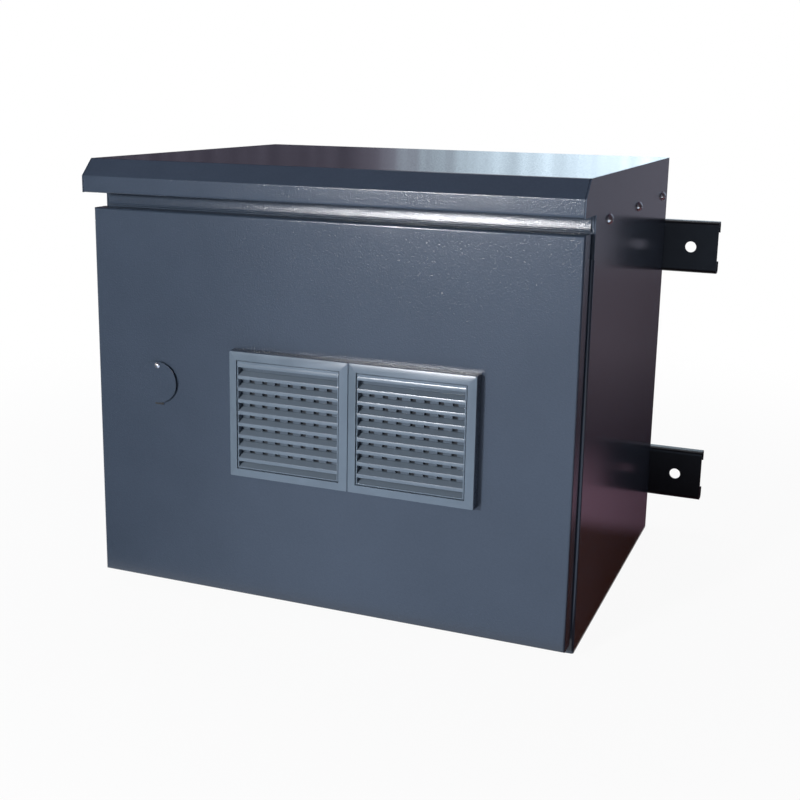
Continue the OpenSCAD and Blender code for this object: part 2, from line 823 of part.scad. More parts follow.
module gland_screws() {
    head_t = gland_screw_r * 1.2;
    color(bright_steel)
        for (x = gland_screw_xs, y = gland_screw_ys) translate([x, y, 0]) {
            translate([0, 0, weld_gap]) cylinder(r = gland_screw_r, h = sheet + gland_t);
            translate([0, 0, sheet + gland_t]) cylinder(r = 2 * gland_screw_r, h = head_t);
        }
}

module earth_stud() {
    color(bright_steel) translate([stud_x, stud_y, sheet]) cylinder(r = stud_r, h = stud_l);
}

module earth_nut() {
    color(bright_steel) translate([stud_x, stud_y, stud_nut_z]) difference() {
        union() {
            cylinder(r = stud_r * 2, h = stud_nut_t, $fn = 6);
            translate([0, 0, -gland_t]) cylinder(r = stud_r * 2.2, h = gland_t);
        }
        translate([0, 0, -stud_nut_t]) cylinder(r = stud_r + run_gap, h = 3 * stud_nut_t);
    }
}

// Door folded as a pan, with its lock hole and vent openings
module door_panel() {
    color(paint) difference() {
        translate([0, door_y, door_mid_z]) difference() {
            front_round_block(door_w, door_h, door_return, bend_r);
            translate([0, sheet, 0])
                front_round_block(door_w - 2 * sheet, door_h - 2 * sheet, door_return, bend_r - sheet);
        }
        for (x = vent_xs)
            translate([x, door_y + sheet / 2, door_mid_z])
                cube([neck_cut, 3 * sheet, neck_cut], center = true);
        bar_y(lock_x, door_y - join, lock_z, lock_r + hole_gap, sheet + 2 * join);
        bar_y(lock_x, door_y - join, rivet_z, rivet_r + run_gap, sheet + 2 * join);
    }
}

// Foam strip on the door, in line with the sealing rim
module door_gasket() {
    mid_w = opening_w + sheet;
    mid_h = opening_h + sheet;
    color(dark_rubber) translate([0, 0, opening_mid_z])
        upright(door_in_y, seal_t) difference() {
            round_rect(mid_w + seal_w, mid_h + seal_w, rim_r + seal_w / 2);
            round_rect(mid_w - seal_w, mid_h - seal_w, rim_r - seal_w / 2);
        }
}

// Tapered block from y = 0 to d, wider at its back
module flared_block(w, h, d, flare) {
    intersection() {
        linear_extrude(h + 2 * flare, center = true)
            polygon([[-w / 2, 0], [w / 2, 0], [w / 2 + flare, d], [-w / 2 - flare, d]]);
        along_x(w + 2 * flare)
            polygon([[0, -h / 2], [d, -h / 2 - flare], [d, h / 2 + flare], [0, h / 2]]);
    }
}

// Raised surround that carries the two vents, open behind
module vent_surround() {
    color(paint) translate([vent_off, surround_y, door_mid_z]) difference() {
        flared_block(2 * vent_w, vent_w, surround_d, surround_flare);
        translate([0, sheet, 0])
            flared_block(2 * (vent_w - sheet), vent_w - 2 * sheet, surround_d, surround_flare);
        for (s = [-1, 1])
            translate([s * vent_w / 2, 0, 0]) cube([neck_cut, 4 * sheet, neck_cut], center = true);
    }
}

// Moulded frame: border, neck through the door, and the plate that holds the fan
module vent_frame(x) {
    color(vent_plastic) translate([x, 0, door_mid_z]) difference() {
        union() {
            upright(vent_y, vent_t) round_rect(vent_w - vent_split, vent_w - vent_split, vent_corner);
            upright(vent_y, plate_y + neck_t - vent_y) square(neck_w, center = true);
        }
        upright(vent_y - join, plate_y - vent_y + join) square(frame_hole, center = true);
        bar_y(0, plate_y - join, 0, throat_r, neck_t + 2 * join);
        for (sx = [-1, 1], sz = [-1, 1])
            bar_y(sx * fan_hole_pitch / 2, plate_y - join, sz * fan_hole_pitch / 2,
                  fan_screw_r + hole_gap, neck_t + 2 * join);
    }
}

module left_vent_frame() vent_frame(vent_xs[0]);

module right_vent_frame() vent_frame(vent_xs[1]);

// Section of one blade: upright nose and sloping back, nose foot at z = 0
module blade_section() {
    slope = blade_t * sqrt(1 + pow(blade_rise / blade_d, 2));
    polygon([
        [0, 0], [blade_t, 0], [blade_t, nose_h + blade_t * blade_rise / blade_d - slope],
        [blade_d, nose_h + blade_rise - slope], [blade_d, nose_h + blade_rise], [0, nose_h]]);
}

// Louvre insert: border, fascia, sloping blades and sill, ribs behind
module louvre(x) {
    clear_w = louvre_w - 2 * louvre_rim;
    blade_l = louvre_w - 2 * louvre_edge;
    rib_front = blade_d - blade_t / 2;
    rib_d = louvre_d - rib_front;
    top = louvre_w / 2;
    color(vent_plastic) translate([x, vent_y + louvre_back, door_mid_z]) {
        difference() {
            front_round_block(louvre_w, louvre_w, louvre_d, louvre_edge);
            translate([0, louvre_d / 2, 0]) cube([clear_w, 2 * louvre_d, clear_w], center = true);
        }
        translate([-blade_l / 2, 0, top - louvre_head]) cube([blade_l, blade_t, louvre_head - louvre_edge]);
        for (i = [1:blade_count])
            translate([0, 0, top - louvre_head - i * louvre_pitch]) along_x(blade_l) blade_section();
        translate([0, 0, louvre_edge - top]) along_x(blade_l)
            polygon([[0, 0], [blade_d, 0], [blade_d, louvre_rim - louvre_edge + blade_rise],
                     [0, louvre_rim - louvre_edge]]);
        translate([-blade_l / 2, rib_front, top - louvre_band])
            cube([blade_l, rib_d, louvre_band - louvre_edge]);
        for (i = [0:rib_count - 1])
            translate([(i - (rib_count - 1) / 2) * rib_step - rib_w / 2, rib_front, -blade_l / 2])
                cube([rib_w, rib_d, blade_l]);
    }
}

module left_louvre() louvre(vent_xs[0]);

module right_louvre() louvre(vent_xs[1]);

module filter_mat(x) {
    color(mat_grey) translate([x - mat_w / 2, mat_y, door_mid_z - mat_w / 2]) cube([mat_w, mat_t, mat_w]);
}

module left_filter_mat() filter_mat(vent_xs[0]);

module right_filter_mat() filter_mat(vent_xs[1]);

// Square fan frame with a round throat and the motor carrier at its back
module fan_frame(x) {
    carrier_y = fan_back_y - spoke_t;
    color(dark_plastic) translate([x, 0, door_mid_z]) difference() {
        union() {
            upright(fan_y, fan_d) difference() {
                round_rect(fan_w, fan_w, fan_corner);
                circle(throat_r);
                for (sx = [-1, 1], sz = [-1, 1])
                    translate([sx, sz] * fan_hole_pitch / 2) circle(fan_screw_r + hole_gap);
            }
            bar_y(0, carrier_y, 0, carrier_r, spoke_t);
            for (a = [45, 135])
                rotate([0, a, 0]) translate([-throat_r - join, carrier_y, -spoke_t / 2])
                    cube([2 * (throat_r + join), spoke_t, spoke_t]);
        }
        bar_y(0, carrier_y - join, 0, shaft_r + run_gap, spoke_t + 2 * join);
    }
}

module left_fan_frame() fan_frame(vent_xs[0]);

module right_fan_frame() fan_frame(vent_xs[1]);

// Hub, pitched blades and shaft of one fan
module impeller(x) {
    hub_y = fan_y + fan_clear;
    hub_l = fan_d - spoke_t - 2 * fan_clear;
    tip_r = throat_r - tip_gap;
    chord = hub_l / sin(blade_pitch);
    color(dark_plastic) translate([x, 0, door_mid_z]) {
        bar_y(0, hub_y, 0, hub_r, hub_l);
        bar_y(0, hub_y + hub_l - join, 0, shaft_r, fan_clear + spoke_t + join - stack_gap);
        intersection() {
            bar_y(0, hub_y, 0, tip_r, hub_l);
            for (i = [0:fan_blades - 1])
                rotate([0, i * 360 / fan_blades, 0]) translate([hub_r / 2, hub_y + hub_l / 2, 0])
                    rotate([90 - blade_pitch, 0, 0]) translate([0, -chord / 2, -blade_t / 2])
                        cube([tip_r, chord, blade_t]);
        }
    }
}

module left_impeller() impeller(vent_xs[0]);

module right_impeller() impeller(vent_xs[1]);

module fan_screws() {
    color(bright_steel)
        for (x = vent_xs, sx = [-1, 1], sz = [-1, 1])
            translate([x + sx * fan_hole_pitch / 2, 0, door_mid_z + sz * fan_hole_pitch / 2]) {
                bar_y(0, plate_y, 0, fan_screw_r, fan_back_y - plate_y + join);
                bar_y(0, fan_back_y, 0, fan_screw_head_r, fan_screw_head_t);
            }
}

// Quarter-turn lock: head, barrel through the door, bore for the spindle
module lock_housing() {
    color(bright_steel) difference() {
        union() {
            bar_y(lock_x, door_y - lock_head_t, lock_z, lock_head_r, lock_head_t);
            bar_y(lock_x, door_y - sheet / 2, lock_z, lock_r, barrel_end_y - door_y + sheet / 2);
        }
        bar_y(lock_x, door_y - lock_head_t - join, lock_z, spindle_r + run_gap,
              barrel_end_y - door_y + lock_head_t + 2 * join);
    }
}

module lock_nut() {
    color(bright_steel) difference() {
        hex_y(lock_x, door_in_y, lock_z, 2 * lock_head_r, lock_nut_t);
        bar_y(lock_x, door_in_y - join, lock_z, lock_r + run_gap, lock_nut_t + 2 * join);
    }
}

// Turning core with a three-sided key drive in its well
module lock_spindle() {
    spindle_y = door_y - lock_head_t / 2;
    color(bright_steel) difference() {
        union() {
            difference() {
                bar_y(lock_x, spindle_y, lock_z, spindle_r, barrel_end_y - spindle_y);
                bar_y(lock_x, spindle_y - join, lock_z, spindle_r - sheet / 2, key_well + join);
            }
            translate([lock_x, spindle_y, lock_z]) rotate([-90, 0, 0])
                cylinder(r = key_r, h = key_well + join, $fn = 3);
            translate([lock_x - spindle_sq / 2, barrel_end_y - join, lock_z - spindle_sq / 2])
                cube([spindle_sq, cam_y + cam_t - barrel_end_y + join, spindle_sq]);
        }
        bar_y(lock_x, barrel_end_y, lock_z, cam_screw_r + run_gap, cam_y + cam_t - barrel_end_y + join);
    }
}

// Flat cam, hanging down when the door is free
module lock_cam() {
    hole = spindle_sq + 2 * square_gap;
    color(bright_steel) translate([lock_x, 0, lock_z]) upright(cam_y, cam_t) difference() {
        union() {
            circle(cam_w / 2);
            translate([-cam_w / 2, -cam_l + cam_w / 4]) square([cam_w, cam_l - cam_w / 4]);
            translate([-cam_w / 4, -cam_l]) square([cam_w / 2, cam_l]);
            for (s = [-1, 1]) translate([s * cam_w / 4, -cam_l + cam_w / 4]) circle(cam_w / 4);
        }
        square(hole, center = true);
    }
}

module cam_screw() {
    color(bright_steel) {
        bar_y(lock_x, barrel_end_y + join, lock_z, cam_screw_r, cam_y + cam_t - barrel_end_y);
        hex_y(lock_x, cam_y + cam_t, lock_z, spindle_sq * 1.5, cam_head_t);
    }
}

// Round plate that swings aside on its rivet
module lock_cover() {
    color(paint) upright(cover_y, cover_t) difference() {
        translate([lock_x, lock_z]) circle(cover_r);
        translate([lock_x, rivet_z]) circle(rivet_r + run_gap);
    }
}

module cover_rivet() {
    head_y = cover_y - stack_gap;
    color(bright_steel) {
        translate([lock_x, head_y, rivet_z]) rotate([0, 0, -90]) dome_x(rivet_head_r, rivet_head_h);
        bar_y(lock_x, head_y - join / 2, rivet_z, rivet_r, door_in_y + sheet - head_y + join / 2);
        bar_y(lock_x, cover_back_y + stack_gap, rivet_z, rivet_collar_r, door_y - cover_back_y - stack_gap);
        bar_y(lock_x, door_in_y, rivet_z, rivet_head_r, sheet);
    }
}

// Rubber pad on the door, just under the cover's lower edge
module cover_stop() {
    corner = stop_h * 0.45;
    color(dark_rubber) translate([lock_x, 0, lock_z - cover_r - stop_h / 2])
        upright(door_y - stop_t, stop_t) round_rect(stop_w, stop_h, corner);
}

body_wrap();
floor_pan();
ceiling_pan();
drip_rail();
sealing_rim();
rain_hood();
hood_screws();
hood_nuts();
upper_wall_rail();
lower_wall_rail();
rail_bolts();
rail_nuts();
upper_hinge_arm();
lower_hinge_arm();
left_rack_post();
right_rack_post();
depth_rails();
rack_bolts();
gland_plate();
cable_grommets();
gland_screws();
earth_stud();
earth_nut();
door_panel();
door_gasket();
upper_hinge_leaf();
lower_hinge_leaf();
hinge_pins();
vent_surround();
left_vent_frame();
right_vent_frame();
left_louvre();
right_louvre();
left_filter_mat();
right_filter_mat();
left_fan_frame();
right_fan_frame();
fan_screws();
lock_housing();
lock_nut();
cover_rivet();
cover_stop();
lock_spindle();
lock_cam();
cam_screw();
lock_cover();
left_impeller();
right_impeller();
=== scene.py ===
# %% [markdown]
# # Outdoor utility cabinet
# The cabinet is folded from sheet steel and powder coated: a box with a sloped rain hood,
# a door with two louvred vents and a covered lock, and two black rails across the back.
# The solids arrive ready made, in metres, in one shared frame. This lesson gives them their
# finishes, slopes the faces of the vent frames, breaks the sharp edges, and then lights and
# frames the whole.

import json
import math

import bpy
from mathutils import Matrix, Vector

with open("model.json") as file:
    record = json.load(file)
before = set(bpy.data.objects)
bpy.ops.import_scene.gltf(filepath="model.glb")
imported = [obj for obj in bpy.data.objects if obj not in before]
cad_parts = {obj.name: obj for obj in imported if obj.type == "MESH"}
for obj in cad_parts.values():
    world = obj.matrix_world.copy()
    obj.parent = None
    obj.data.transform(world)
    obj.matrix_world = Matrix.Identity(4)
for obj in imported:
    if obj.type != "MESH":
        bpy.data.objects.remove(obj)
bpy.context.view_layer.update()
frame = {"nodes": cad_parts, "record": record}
nodes = frame["nodes"]
scene = bpy.context.scene
MM = 0.001

# %% [markdown]
# ## Camera
# The photograph was taken from the right and a little above, and later cropped. The camera's
# place, turn and focal length could be tried by eye, but they were solved from the cabinet's
# corners, so that every edge lies where it should. The crop leaves the optical centre a
# little off the middle of the picture, which the lens shift repeats.

# %% Camera
PICTURE_PX = 800
SENSOR_MM = 36
FOCAL_PX = 1217.7
CENTRE_PX = (378.1, 359.9)
EYE_MM = (567.3, -1477.4, 613.0)
TURN, DIP, ROLL = (math.radians(angle) for angle in (-22.092, 12.474, 0.868))

forward = Vector((math.sin(TURN) * math.cos(DIP), math.cos(TURN) * math.cos(DIP), -math.sin(DIP)))
level_right = Vector((math.cos(TURN), -math.sin(TURN), 0))
level_up = level_right.cross(forward)
right = level_right * math.cos(ROLL) + level_up * math.sin(ROLL)
up = level_up * math.cos(ROLL) - level_right * math.sin(ROLL)

camera_data = bpy.data.cameras.new("camera")
camera_data.sensor_width = SENSOR_MM
camera_data.lens = SENSOR_MM * FOCAL_PX / PICTURE_PX
camera_data.shift_x = 0.5 - CENTRE_PX[0] / PICTURE_PX
camera_data.shift_y = CENTRE_PX[1] / PICTURE_PX - 0.5
camera = bpy.data.objects.new("camera", camera_data)
scene.collection.objects.link(camera)
aim = Matrix((right, up, -forward)).transposed().to_4x4()
camera.matrix_world = Matrix.Translation(Vector(EYE_MM) * MM) @ aim
scene.camera = camera
print("lens mm:", round(camera_data.lens, 1))

# %% [markdown]
# ## Helpers for materials
# Colours are written as the hex values a paint chart gives, and shaders want linear light, so
# one function converts them. Another adds one shader node, sets its values and plugs in its
# links, which keeps each material as short as a recipe. A noise counts its waves per metre,
# so a last one turns a size in millimetres into that.

# %% Colour and node helpers
def linear(hex_colour):
    channels = [int(hex_colour[i:i + 2], 16) / 255 for i in (1, 3, 5)]
    light = [c / 12.92 if c <= 0.04045 else ((c + 0.055) / 1.055) ** 2.4 for c in channels]
    return (*light, 1.0)


def connect(tree, node, links):
    for socket, source in links.items():
        tree.links.new(source, node.inputs[socket])


def add(tree, kind, values=None, links=None, **settings):
    node = tree.nodes.new(kind)
    for name, value in settings.items():
        setattr(node, name, value)
    for socket, value in (values or {}).items():
        node.inputs[socket].default_value = value
    connect(tree, node, links or {})
    return node


def new_material(name):
    material = bpy.data.materials.new(name)
    material.use_nodes = True
    tree = material.node_tree
    tree.nodes.clear()
    shader = add(tree, "ShaderNodeBsdfPrincipled")
    add(tree, "ShaderNodeOutputMaterial", links={"Surface": shader.outputs["BSDF"]})
    place = add(tree, "ShaderNodeTexCoord").outputs["Object"]
    return material, tree, shader, place


def per_metre(size_mm):
    return 1 / (size_mm * MM)


print("waves per metre of a 2 mm grain:", per_metre(2))

# %% [markdown]
# ## Powder coat
# The steel is covered with polyester powder that is baked until it melts. On the hood, the
# door and the inner sheets it is a structured powder, which shrinks into a pebbled skin. The
# sides and the back have a smooth one. A picture of the skin would repeat and would be tied
# to one size, so two noises make the pebbles and a broad third one lets the film's thickness
# drift. The film flows out flat where it faces up, so the relief fades there.

# %% Powder coat
COAT_DEEP, COAT_PALE = "#313b48", "#404b5a"
PEBBLE_MM = 2.4  # really about 1 mm, which is too fine to show, so it is drawn coarser
FILM_DRIFT_MM = 90
PEBBLE_TINT, DRIFT_TINT = 0.45, 0.55
HOLLOW, TOP = 0.3, 0.7  # what the noise gives there
DULL_HOLLOWS, POLISHED_TOPS = 0.07, -0.04  # added to the roughness there
FINE_SHARE = 0.5
UPRIGHT_Z, FACING_UP_Z = 0.2, 0.6
POLYESTER_IOR = 1.5


def powder_coat(name, roughness, height_mm):
    # The pebbles break each highlight into glitter, and handling has polished their tops.
    material, tree, shader, place = new_material(name)
    pebbles = add(tree, "ShaderNodeTexNoise",
                  {"Scale": per_metre(PEBBLE_MM), "Detail": 2.0, "Roughness": 0.55},
                  {"Vector": place}).outputs["Fac"]
    fine = add(tree, "ShaderNodeTexNoise", {"Scale": per_metre(PEBBLE_MM / 2), "Detail": 1.0},
               {"Vector": place}).outputs["Fac"]
    drift = add(tree, "ShaderNodeTexNoise", {"Scale": per_metre(FILM_DRIFT_MM), "Detail": 3.0},
                {"Vector": place}).outputs["Fac"]
    speckle = add(tree, "ShaderNodeMath", {1: PEBBLE_TINT}, {0: pebbles}, operation="MULTIPLY")
    tint = add(tree, "ShaderNodeMath", {1: DRIFT_TINT}, {0: drift, 2: speckle.outputs[0]},
               operation="MULTIPLY_ADD")
    colour = add(tree, "ShaderNodeMix", {"A": linear(COAT_DEEP), "B": linear(COAT_PALE)},
                 {"Factor": tint.outputs[0]}, data_type="RGBA")
    gloss = add(tree, "ShaderNodeMapRange",
                {"From Min": HOLLOW, "From Max": TOP,
                 "To Min": roughness + DULL_HOLLOWS, "To Max": roughness + POLISHED_TOPS},
                {"Value": pebbles})
    heights = add(tree, "ShaderNodeMath", {1: FINE_SHARE}, {0: fine, 2: pebbles},
                  operation="MULTIPLY_ADD")
    facing = add(tree, "ShaderNodeNewGeometry").outputs["Normal"]
    upward = add(tree, "ShaderNodeSeparateXYZ", links={0: facing}).outputs["Z"]
    relief = add(tree, "ShaderNodeMapRange",
                 {"From Min": UPRIGHT_Z, "From Max": FACING_UP_Z, "To Min": 1.0, "To Max": 0.0},
                 {"Value": upward})
    bump = add(tree, "ShaderNodeBump", {"Distance": height_mm * MM},
               {"Height": heights.outputs[0], "Strength": relief.outputs[0]})
    shader.inputs["IOR"].default_value = POLYESTER_IOR
    connect(tree, shader, {"Base Color": colour.outputs["Result"],
                           "Roughness": gloss.outputs["Result"],
                           "Normal": bump.outputs["Normal"]})
    return material


coat = powder_coat("structured_powder_coat", roughness=0.18, height_mm=0.17)
smooth_coat = powder_coat("smooth_powder_coat", roughness=0.16, height_mm=0.02)
print("made:", coat.name, smooth_coat.name)

# %% [markdown]
# ## Black rail paint
# The rails are dipped in black enamel, which runs off and leaves a thin film with long soft
# waves. They could be modelled, but they are only hundredths of a millimetre high, so a noise
# bends the light instead. The same noise dulls the film where hands have rubbed it.

# %% Black enamel
ENAMEL_DEEP, ENAMEL_PALE = "#08080b", "#0f0e13"
WAVE_MM, WAVE_HEIGHT_MM, WAVE_STRENGTH = 14, 0.2, 0.25
ENAMEL_GLOSSY, ENAMEL_RUBBED = 0.28, 0.46
ENAMEL_IOR = 1.35  # below a fresh film's 1.5, because the worn film mirrors less


def black_enamel():
    # Deep black with soft, slightly wavering sheens.
    material, tree, shader, place = new_material("black_dip_enamel")
    waves = add(tree, "ShaderNodeTexNoise", {"Scale": per_metre(WAVE_MM), "Detail": 2.0},
                {"Vector": place}).outputs["Fac"]
    colour = add(tree, "ShaderNodeMix", {"A": linear(ENAMEL_DEEP), "B": linear(ENAMEL_PALE)},
                 {"Factor": waves}, data_type="RGBA")
    gloss = add(tree, "ShaderNodeMapRange", {"To Min": ENAMEL_GLOSSY, "To Max": ENAMEL_RUBBED},
                {"Value": waves})
    bump = add(tree, "ShaderNodeBump",
               {"Strength": WAVE_STRENGTH, "Distance": WAVE_HEIGHT_MM * MM}, {"Height": waves})
    shader.inputs["IOR"].default_value = ENAMEL_IOR
    connect(tree, shader, {"Base Color": colour.outputs["Result"],
                           "Roughness": gloss.outputs["Result"],
                           "Normal": bump.outputs["Normal"]})
    return material


enamel = black_enamel()
print("made:", enamel.name)

# %% [markdown]
# ## Painted light and shade on the louvres
# The blades of the vents get a dark colour deep between them, at the ribs, as painted shade,
# and a paler colour on what faces up, as painted light from above. Such marks could be painted
# by hand, but here the place and the slope of the surface say where they go, so both vents get
# them alike. The noses of the blades are also slightly crowned, by half a millimetre, which a
# bump gives well enough.

# %% Painted shade, painted top light and crowned noses
# Painted shade: a dark colour deep in the vents, at the ribs, where shade falls between the
# blades.
PAINTED_RIB_SHADE, RIB_SHADE_STRENGTH = "#20262c", 0.55
RIB_SHADE_FRONT_MM, RIB_SHADE_BACK_MM = -265.0, -263.9
# Painted light: a paler colour on the upward faces of the blades, for light from above.
PAINTED_TOP_LIGHT = "#6e7b87"
TOP_LIGHT_STARTS_Z, TOP_LIGHT_FULL_Z = 0.6, 0.85
FIRST_NOSE_Z, ROW_PITCH, NOSE_H = 0.28585, 0.01405, 0.0042  # the rows of blades, in metres
NOSE_FALL = math.tan(math.radians(13))


# Paints light on the upward faces and shade deep at the ribs, over the plastic's own colour.
def painted_top_light_and_rib_shade(tree, place, clean):
    facing = add(tree, "ShaderNodeNewGeometry").outputs["Normal"]
    upward = add(tree, "ShaderNodeSeparateXYZ", links={0: facing}).outputs["Z"]
    top_light = add(tree, "ShaderNodeMapRange", {"From Min": TOP_LIGHT_STARTS_Z, "From Max": TOP_LIGHT_FULL_Z},
               {"Value": upward})
    top_lit = add(tree, "ShaderNodeMix", {"B": linear(PAINTED_TOP_LIGHT)},
                {"Factor": top_light.outputs[0], "A": clean}, data_type="RGBA")
    depth = add(tree, "ShaderNodeSeparateXYZ", links={0: place}).outputs["Y"]
    rib_shade = add(tree, "ShaderNodeMapRange",
                {"From Min": RIB_SHADE_FRONT_MM * MM, "From Max": RIB_SHADE_BACK_MM * MM,
                 "To Max": RIB_SHADE_STRENGTH}, {"Value": depth})
    rib_shaded = add(tree, "ShaderNodeMix", {"B": linear(PAINTED_RIB_SHADE)},
                {"Factor": rib_shade.outputs[0], "A": top_lit.outputs["Result"]}, data_type="RGBA")
    return rib_shaded.outputs["Result"]


def crowned_noses(tree, place):
    rise = add(tree, "ShaderNodeSeparateXYZ", links={0: place}).outputs["Z"]
    above = add(tree, "ShaderNodeMath", {1: FIRST_NOSE_Z}, {0: rise}, operation="SUBTRACT")
    in_row = add(tree, "ShaderNodeMath", {1: ROW_PITCH}, {0: above.outputs[0]},
                 operation="FLOORED_MODULO")
    on_nose = add(tree, "ShaderNodeMath", {1: NOSE_H}, {0: in_row.outputs[0]},
                  operation="MINIMUM")
    square = add(tree, "ShaderNodeMath", {1: 2.0}, {0: on_nose.outputs[0]}, operation="POWER")
    crown = add(tree, "ShaderNodeMath", {1: -NOSE_FALL / (2 * NOSE_H)}, {0: square.outputs[0]},
                operation="MULTIPLY")
    return crown.outputs[0]


print("crown of a nose in mm:", round(NOSE_FALL * NOSE_H / 2 / MM, 2))

# %% [markdown]
# ## Moulded plastics
# The vents are injection moulded in blue-grey ABS, and the mould's spark-eroded wall leaves a
# fine grain. The fans are black glass-filled plastic, duller and a little streaky where it
# flowed. A material for each could be built from nothing, but they differ only in colour,
# shine and grain, so one recipe serves all of them.

# %% Moulded plastics
ABS_DEEP, ABS_PALE = "#5e6b77", "#697885"
GRAIN_MM = 0.9  # really about 0.1 mm, which is too fine to show, so it is drawn coarser
FAN_DEEP, FAN_PALE = "#17171a", "#232327"
GRAIN_STRENGTH = 0.4
FLOW_MM, FLOW_SPREAD = 35, 0.06
PLASTIC_IOR = 1.53


def moulded_plastic(name, deep, pale, roughness, grain_height_mm, louvre=False):
    # The grain softens each sheen, and the flow of the melt lets colour and shine drift.
    material, tree, shader, place = new_material(name)
    grain = add(tree, "ShaderNodeTexNoise", {"Scale": per_metre(GRAIN_MM), "Detail": 1.0},
                {"Vector": place}).outputs["Fac"]
    flow = add(tree, "ShaderNodeTexNoise", {"Scale": per_metre(FLOW_MM), "Detail": 2.0},
               {"Vector": place}).outputs["Fac"]
    colour = add(tree, "ShaderNodeMix", {"A": linear(deep), "B": linear(pale)},
                 {"Factor": flow}, data_type="RGBA").outputs["Result"]
    gloss = add(tree, "ShaderNodeMapRange",
                {"To Min": roughness - FLOW_SPREAD, "To Max": roughness + FLOW_SPREAD},
                {"Value": flow})
    bump = add(tree, "ShaderNodeBump",
               {"Strength": GRAIN_STRENGTH, "Distance": grain_height_mm * MM}, {"Height": grain})
    if louvre:
        # Painted top light and painted shade at the ribs, on the louvres only.
        colour = painted_top_light_and_rib_shade(tree, place, colour)
        swell = add(tree, "ShaderNodeBump", {"Distance": 1.0},
                    {"Height": crowned_noses(tree, place)})
        connect(tree, bump, {"Normal": swell.outputs["Normal"]})
    shader.inputs["IOR"].default_value = PLASTIC_IOR
    connect(tree, shader, {"Base Color": colour, "Roughness": gloss.outputs["Result"],
                           "Normal": bump.outputs["Normal"]})
    return material


vent_abs = moulded_plastic("blue_grey_abs", ABS_DEEP, ABS_PALE, roughness=0.21,
                           grain_height_mm=0.04)
louvre_abs = moulded_plastic("blue_grey_abs_painted_light_and_shade", ABS_DEEP, ABS_PALE, roughness=0.21,
                             grain_height_mm=0.04, louvre=True)
fan_plastic = moulded_plastic("black_glass_filled_plastic", FAN_DEEP, FAN_PALE, roughness=0.5,
                              grain_height_mm=0.06)
print("made:", vent_abs.name, louvre_abs.name, fan_plastic.name)

# %% [markdown]
# ## Bare metals
# Brackets, bolts and rack posts are zinc plated: a pale metal, cloudy where the bath deposited
# unevenly. The hood's screws and the rivet of the lock's cover are polished stainless steel.
# A metal has no colour under its shine, so the shine itself is tinted, and one broad noise
# lets it drift.

# %% Zinc and stainless
CLOUD_MM = 25
ZINC_DEEP, ZINC_PALE = "#a9adb0", "#cfd1d0"
ZINC_BRIGHT, ZINC_DULL = 0.24, 0.4
STAINLESS = "#c4c2c0"
STAINLESS_BRIGHT, STAINLESS_DULL = 0.14, 0.26


def cloudy_metal(name, brightest, dullest):
    material, tree, shader, place = new_material(name)
    clouds = add(tree, "ShaderNodeTexNoise", {"Scale": per_metre(CLOUD_MM), "Detail": 2.0},
                 {"Vector": place}).outputs["Fac"]
    gloss = add(tree, "ShaderNodeMapRange", {"To Min": brightest, "To Max": dullest},
                {"Value": clouds})
    shader.inputs["Metallic"].default_value = 1.0
    connect(tree, shader, {"Roughness": gloss.outputs["Result"]})
    return material, tree, shader, clouds


# Zinc: soft bright patches that fade into greyer ones.
zinc, tree, shader, clouds = cloudy_metal("bright_zinc_plate", ZINC_BRIGHT, ZINC_DULL)
patches = add(tree, "ShaderNodeMix", {"A": linear(ZINC_DEEP), "B": linear(ZINC_PALE)},
              {"Factor": clouds}, data_type="RGBA")
connect(tree, shader, {"Base Color": patches.outputs["Result"]})

# Stainless: small sharp glints on the heads.
polished, tree, shader, _ = cloudy_metal("polished_stainless", STAINLESS_BRIGHT, STAINLESS_DULL)
shader.inputs["Base Color"].default_value = linear(STAINLESS)
print("made:", zinc.name, polished.name)

# %% [markdown]
# ## Rubber and fibre
# The door gasket and the grommets are extruded and moulded in black EPDM rubber, which grows
# a dusty bloom. The filter mats are bonded polyester fibre. Real threads could be grown as
# hair, but the mats are only glimpsed between the blades, so a noise that is bent on itself
# suggests the tangle.

# %% Rubber and fibre
RUBBER_DEEP, RUBBER_BLOOM = "#1b1b1b", "#2a2a2a"
BLOOM_MM = 20
RUBBER_ROUGHNESS = 0.75
FIBRE_DEEP, FIBRE_PALE = "#181b1f", "#363b42"
THREAD_MM = 1.4  # really about 0.05 mm, which is too fine to show, so it is drawn coarser
THREAD_HEIGHT_MM, THREAD_STRENGTH, THREAD_TANGLE = 0.6, 0.8, 2.0
FIBRE_ROUGHNESS = 0.9


def epdm_rubber():
    # Matt black that swallows light, with greyer patches of bloom.
    material, tree, shader, place = new_material("black_epdm_rubber")
    bloom = add(tree, "ShaderNodeTexNoise", {"Scale": per_metre(BLOOM_MM), "Detail": 4.0},
                {"Vector": place})
    colour = add(tree, "ShaderNodeMix", {"A": linear(RUBBER_DEEP), "B": linear(RUBBER_BLOOM)},
                 {"Factor": bloom.outputs["Fac"]}, data_type="RGBA")
    shader.inputs["Roughness"].default_value = RUBBER_ROUGHNESS
    connect(tree, shader, {"Base Color": colour.outputs["Result"]})
    return material


def filter_fibre():
    # A dark, dull tangle with no sheen at all.
    material, tree, shader, place = new_material("bonded_polyester_fibre")
    threads = add(tree, "ShaderNodeTexNoise",
                  {"Scale": per_metre(THREAD_MM), "Detail": 3.0, "Distortion": THREAD_TANGLE},
                  {"Vector": place}).outputs["Fac"]
    colour = add(tree, "ShaderNodeMix", {"A": linear(FIBRE_DEEP), "B": linear(FIBRE_PALE)},
                 {"Factor": threads}, data_type="RGBA")
    bump = add(tree, "ShaderNodeBump",
               {"Strength": THREAD_STRENGTH, "Distance": THREAD_HEIGHT_MM * MM},
               {"Height": threads})
    shader.inputs["Roughness"].default_value = FIBRE_ROUGHNESS
    connect(tree, shader, {"Base Color": colour.outputs["Result"],
                           "Normal": bump.outputs["Normal"]})
    return material


